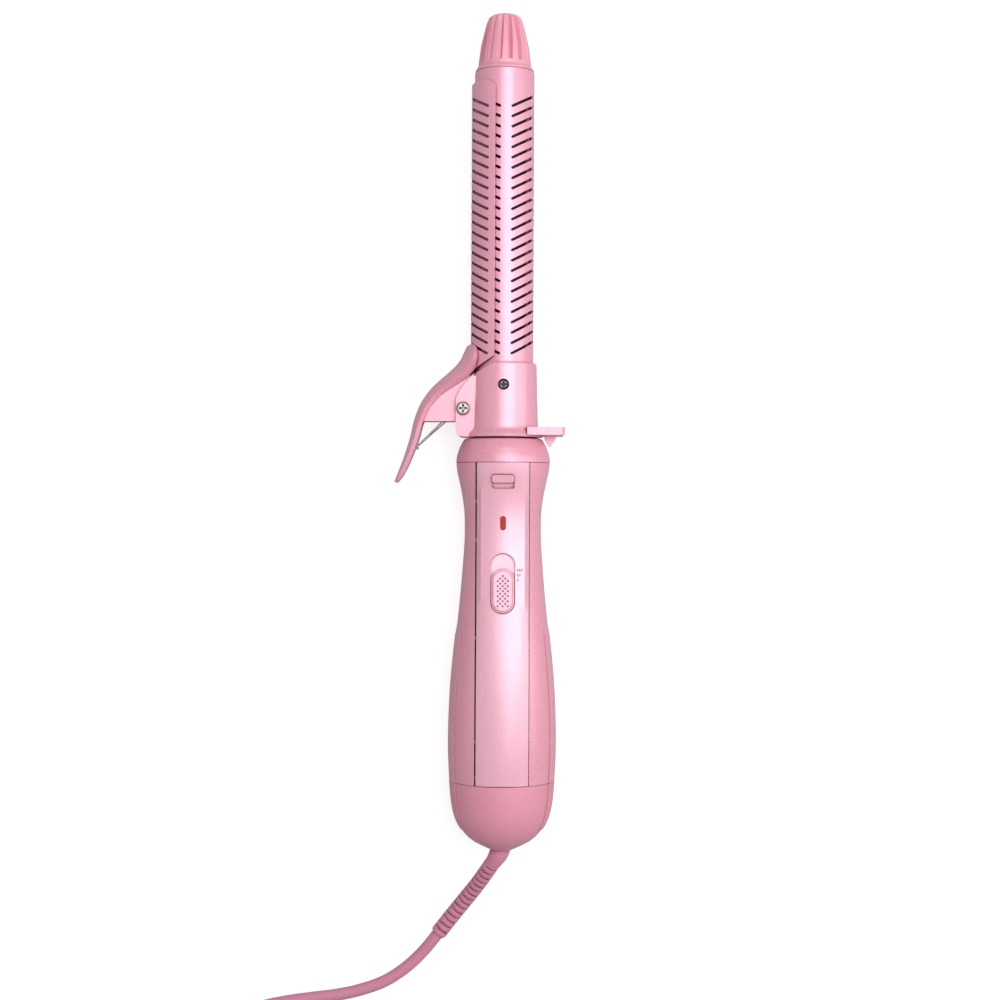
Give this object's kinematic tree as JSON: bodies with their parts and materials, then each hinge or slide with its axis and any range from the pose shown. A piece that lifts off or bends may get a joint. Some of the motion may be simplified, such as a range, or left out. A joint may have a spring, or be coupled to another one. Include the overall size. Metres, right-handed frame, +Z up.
{
  "type": "curling iron",
  "caption": "Hot-air curling iron: slotted barrel with a spring clamp and ribbed tip, on a blower handle with slide switch, release button, end-cap air intake and coiled mains cord.",
  "frame": {"origin": "centre of the iron's box without its cord, on the surface that it lies on", "axes": "+Y along the tool towards the ribbed tip, +Z up out of the front face with the switch, +X towards the rest foot; the thumb lever is on the -X side"},
  "size_m": [0.171, 0.5258, 0.045],
  "materials": {
    "shell_pink": "pearl pink lacquer over moulded plastic, satin",
    "panel_pink": "pearl pink lacquer over moulded plastic, satin",
    "button_pink": "moulded, satin gloss",
    "head_pink": "pearl pink lacquer, satin gloss",
    "barrel_pink": "pearl pink coated aluminium, satin gloss",
    "deep_pink": "moulded, satin",
    "dark_plastic": "moulded, matt",
    "bright_screw": "zinc plated",
    "grey_screw": "dull zinc plated",
    "spring_steel": "drawn wire",
    "motor_can": "zinc plated",
    "mica": "mica board",
    "heater_wire": "oxidised resistance wire",
    "board_green": "solder mask",
    "lamp_red": "clear red lens",
    "led_red": "epoxy",
    "cord_pink": "soft vinyl, satin",
    "tie_black": "matt",
    "pin_brass": "nickel plated brass"
  },
  "bodies": {
    "handle": {"front_shell": "shell_pink", "back_shell": "shell_pink", "front_panel": "panel_pink", "top_ring": "shell_pink", "end_cap": "deep_pink", "intake_screen": "dark_plastic", "shell_screws": "grey_screw", "heater_sleeve": "mica", "heater_frame": "mica", "heater_coil": "heater_wire", "thermostat": "motor_can", "thermal_fuse": "motor_can", "motor": "motor_can", "motor_mount": "dark_plastic", "switch_body": "dark_plastic", "circuit_board": "board_green", "indicator_lens": "lamp_red", "indicator_led": "led_red", "release_spring": "spring_steel", "strain_relief": "cord_pink", "power_cord": "cord_pink", "cord_coil": "cord_pink", "cord_tail": "cord_pink", "cord_tie": "tie_black", "plug_body": "cord_pink", "plug_pins": "pin_brass"},
    "release_button": {"release_button": "button_pink"},
    "switch_knob": {"switch_knob": "button_pink"},
    "fan": {"fan_rotor": "dark_plastic", "rotor_shaft": "spring_steel"},
    "head": {"barrel": "barrel_pink", "air_guide": "dark_plastic", "cool_tip": "deep_pink", "tip_screw": "grey_screw", "collar": "head_pink", "spigot": "dark_plastic", "collar_screws": "grey_screw", "hinge_screw": "bright_screw", "hinge_nut": "bright_screw"},
    "clamp": {"clamp_blade": "barrel_pink", "clamp_lever": "head_pink", "blade_rivets": "grey_screw", "clamp_spring": "spring_steel"}
  },
  "joints": [
    {"name": "head_pull", "type": "slide", "parent": "handle", "child": "head", "axis": [0, 1, 0], "range_m": [0, 0.018]},
    {"name": "clamp_hinge", "type": "hinge", "parent": "head", "child": "clamp", "pos_m": [-0.00665, 0.00965, 0.0227], "axis": [0, 0, 1], "range_deg": [0, 20], "stiffness_Nm_per_rad": 0.35, "springref_deg": -34.38},
    {"name": "switch_slide", "type": "slide", "parent": "handle", "child": "switch_knob", "axis": [0, 0.9968, -0.0802], "range_m": [0, 0.0063]},
    {"name": "button_slide", "type": "slide", "parent": "handle", "child": "release_button", "axis": [0, -0.974, -0.2267], "range_m": [0, 0.0027], "stiffness_N_per_m": 400, "springref_m": -0.002},
    {"name": "fan_spin", "type": "hinge", "parent": "handle", "child": "fan", "pos_m": [0.01035, -0.10265, 0.0227], "axis": [0, 1, 0], "continuous": true}
  ]
}
